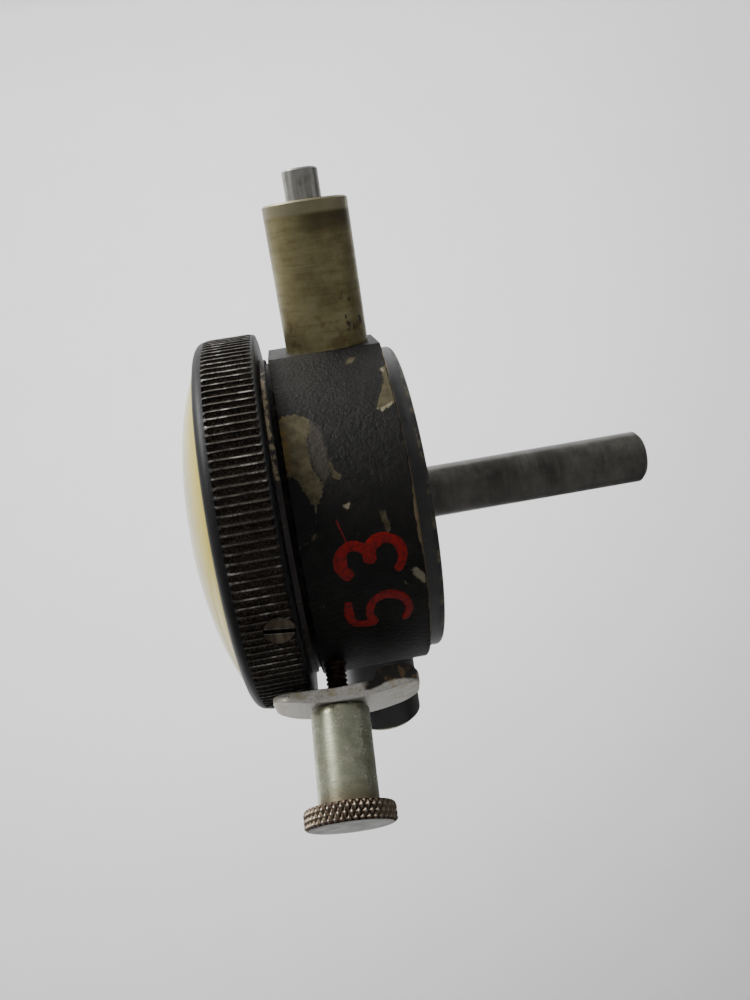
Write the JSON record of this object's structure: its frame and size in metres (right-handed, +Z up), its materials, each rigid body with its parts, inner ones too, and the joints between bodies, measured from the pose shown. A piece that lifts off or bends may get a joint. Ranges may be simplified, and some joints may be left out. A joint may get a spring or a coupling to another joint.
{
  "type": "dial indicator",
  "caption": "Dial indicator with a straight-knurled bezel, domed crystal, plain stem and spindle, rear mounting post, dust cap and a thumb-screw bezel clamp.",
  "frame": {"origin": "centre of the stem's free end", "axes": "+Z up along the stem and spindle to 12 o'clock, the dial faces -Y, +X towards 3 o'clock, the rear post points to +Y"},
  "size_m": [0.0518, 0.056, 0.0686],
  "materials": {
    "black_enamel": "worn semi-gloss enamel over brass",
    "black_bezel": "blackened, worn bright on the ridges",
    "nickel_brass": "dull turned",
    "brass": "satin",
    "steel": "ground",
    "dark_steel": "blackened, turned",
    "plated_steel": "satin plating, stained",
    "crystal": "aged, yellowed, domed",
    "dial_white": "matt enamel",
    "hand_black": "matt",
    "cap_black": "semi-gloss",
    "spring_steel": "blued"
  },
  "bodies": {
    "frame": {"case": "black_enamel", "stem": "nickel_brass", "lower_bushing": "brass", "upper_bushing": "brass", "dust_cap": "cap_black", "hairspring": "spring_steel", "hairspring_stud": "brass", "movement_plate": "brass", "rear_bridge": "brass", "pillars": "brass", "centre_cock": "brass", "bridge_screws": "steel", "movement_screws": "steel", "back_cover": "black_enamel", "back_cover_screws": "dark_steel", "rear_post": "dark_steel", "post_nut": "steel", "bezel_washer": "brass", "spindle_spring": "spring_steel"},
    "spindle": {"spindle": "steel", "guide_pin": "steel", "spring_collar": "brass"},
    "main_wheel": {"rack_pinion_arbor": "steel", "main_gear": "brass"},
    "centre_wheel": {"centre_arbor": "steel", "hand": "hand_black"},
    "takeup_wheel": {"takeup_arbor": "steel", "takeup_gear": "brass"},
    "bezel": {"bezel_ring": "black_bezel", "bezel_screws": "dark_steel", "dial_face": "dial_white", "crystal": "crystal"},
    "clamp": {"clamp_plate": "plated_steel"},
    "thumb_screw": {"clamp_screw": "steel"}
  },
  "joints": [
    {"name": "spindle_slide", "type": "slide", "parent": "frame", "child": "spindle", "axis": [0, 0, 1], "range_m": [0, 0.00635], "stiffness_N_per_m": 120, "springref_m": -0.006, "deforming": ["spindle_spring"]},
    {"name": "main_wheel_turn", "type": "hinge", "parent": "frame", "child": "main_wheel", "pos_m": [-0.00317, 0, 0.02919], "axis": [0, 1, 0], "range_deg": [-180.5, 0]},
    {"name": "hand_turn", "type": "hinge", "parent": "frame", "child": "centre_wheel", "pos_m": [0, 0, 0.03565], "axis": [0, 1, 0], "range_deg": [0, 900.5]},
    {"name": "takeup_wheel_turn", "type": "hinge", "parent": "frame", "child": "takeup_wheel", "pos_m": [0.00401, 0, 0.04011], "axis": [0, 1, 0], "range_deg": [-225.5, 0]},
    {"name": "bezel_turn", "type": "hinge", "parent": "frame", "child": "bezel", "pos_m": [0, 0, 0.03565], "axis": [0, -1, 0], "continuous": true},
    {"name": "clamp_slide", "type": "slide", "parent": "frame", "child": "clamp", "axis": [-0.7192, -0.061, 0.6921], "range_m": [0, 0.0025]},
    {"name": "thumb_screw_turn", "type": "hinge", "parent": "clamp", "child": "thumb_screw", "pos_m": [-0.01773, -0.0056, 0.05271], "axis": [-0.7192, -0.061, 0.6921], "range_deg": [0, 1701.3]}
  ],
  "couplings": [
    {"joint": "main_wheel_turn", "follows": "spindle_slide", "rad_per_m": -494.74},
    {"joint": "hand_turn", "follows": "spindle_slide", "rad_per_m": 2473.7},
    {"joint": "takeup_wheel_turn", "follows": "spindle_slide", "rad_per_m": -618.42},
    {"joint": "thumb_screw_turn", "follows": "clamp_slide", "rad_per_m": 11874}
  ]
}
